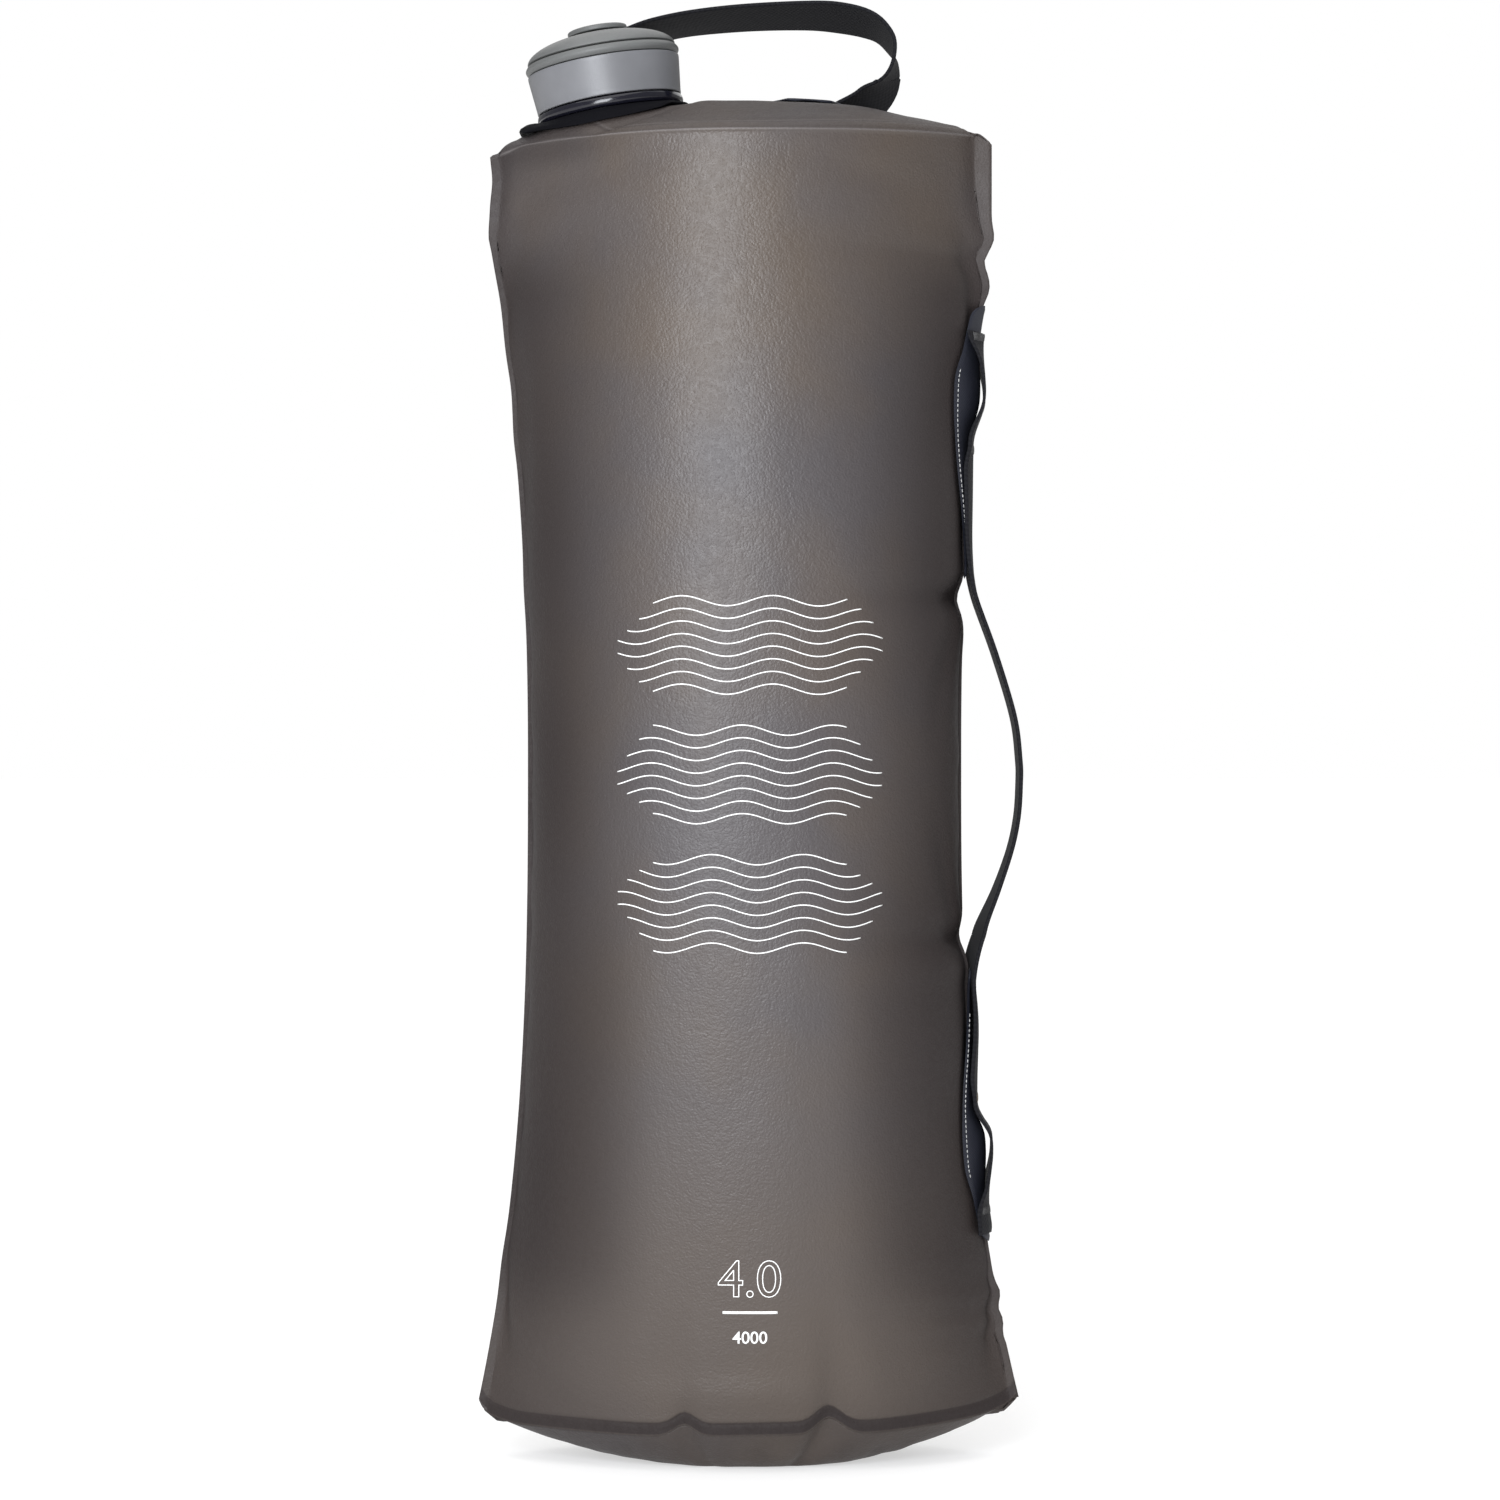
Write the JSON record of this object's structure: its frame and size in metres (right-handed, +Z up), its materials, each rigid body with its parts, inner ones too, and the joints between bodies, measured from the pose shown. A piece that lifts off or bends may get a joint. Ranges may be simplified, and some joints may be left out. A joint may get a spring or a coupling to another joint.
{
  "type": "collapsible water carrier",
  "caption": "Soft water carrier of smoky film on a flat base, with a grey screw cap on a leaning neck, a webbing bail on top and a sewn webbing handle down one side",
  "frame": {"origin": "centre of the flat base that the bag stands on", "axes": "+Z up; +X to the right, towards the side handle; -Y towards the viewer of the picture"},
  "size_m": [0.1653, 0.1012, 0.4431],
  "materials": {
    "film": "satin smoky translucent film",
    "neck_black": "glossy moulded black",
    "flange_black": "matt black",
    "cap_grey": "satin mid grey",
    "soft_grey": "soft-touch grey",
    "seal_rubber": "soft dark grey",
    "webbing": "woven black",
    "patch_cloth": "coated dark navy cloth",
    "thread": "pale sewing thread"
  },
  "bodies": {
    "bag": {"top_panel": "film", "bottom_panel": "film", "neck_spout": "neck_black", "neck_flange": "flange_black", "strap_ring": "neck_black", "bail_anchor_patch": "patch_cloth", "bail_sewn_end": "webbing", "bail_end_bartack": "thread", "upper_side_patch": "patch_cloth", "upper_lash_loop": "webbing", "upper_front_stitches": "thread", "upper_back_stitches": "thread", "upper_outer_bartack": "thread", "upper_inner_bartack": "thread", "lower_side_patch": "patch_cloth", "lower_lash_loop": "webbing", "lower_front_stitches": "thread", "lower_back_stitches": "thread", "lower_outer_bartack": "thread", "lower_inner_bartack": "thread"},
    "cap_lift": {"cap_seal": "seal_rubber"},
    "cap": {"cap_skirt": "cap_grey", "cap_grip_ring": "soft_grey", "cap_top_cover": "soft_grey", "port_seat": "cap_grey"},
    "plug": {"port_plug": "soft_grey", "plug_o_ring": "seal_rubber"},
    "bail": {"bail_strap": "webbing", "bail_loop_bartack": "thread"},
    "handle": {"side_handle_strap": "webbing"},
    "front_film": {"front_panel": "film"},
    "back_film": {"back_panel": "film"}
  },
  "joints": [
    {"name": "cap_rise", "type": "slide", "parent": "bag", "child": "cap_lift", "axis": [-0.165, 0, 0.9863], "range_m": [0, 0.005]},
    {"name": "cap_turn", "type": "hinge", "parent": "cap_lift", "child": "cap", "pos_m": [-0.0419, 0, 0.4061], "axis": [-0.165, 0, 0.9863], "range_deg": [0, 450]},
    {"name": "plug_pull", "type": "slide", "parent": "cap", "child": "plug", "axis": [-0.165, 0, 0.9863], "range_m": [0, 0.012]},
    {"name": "bail_swing", "type": "hinge", "parent": "bag", "child": "bail", "pos_m": [-0.04241, 0.029, 0.40916], "axis": [0.9718, -0.1978, 0.1284], "range_deg": [-85, 0], "deforming": ["bail_sewn_end"]},
    {"name": "handle_swing", "type": "hinge", "parent": "bag", "child": "handle", "pos_m": [0.06947, 0, 0.20775], "axis": [0, 0, 1], "range_deg": [-15, 15]},
    {"name": "front_draw_in", "type": "slide", "parent": "bag", "child": "front_film", "axis": [0, 1, 0], "range_m": [0, 0.01], "deforming": ["front_panel"]},
    {"name": "back_draw_in", "type": "slide", "parent": "bag", "child": "back_film", "axis": [0, -1, 0], "range_m": [0, 0.01], "deforming": ["back_panel"]}
  ],
  "couplings": [
    {"joint": "cap_rise", "follows": "cap_turn", "m_per_rad": 0.00063662},
    {"joint": "back_draw_in", "follows": "front_draw_in", "ratio": 1}
  ]
}
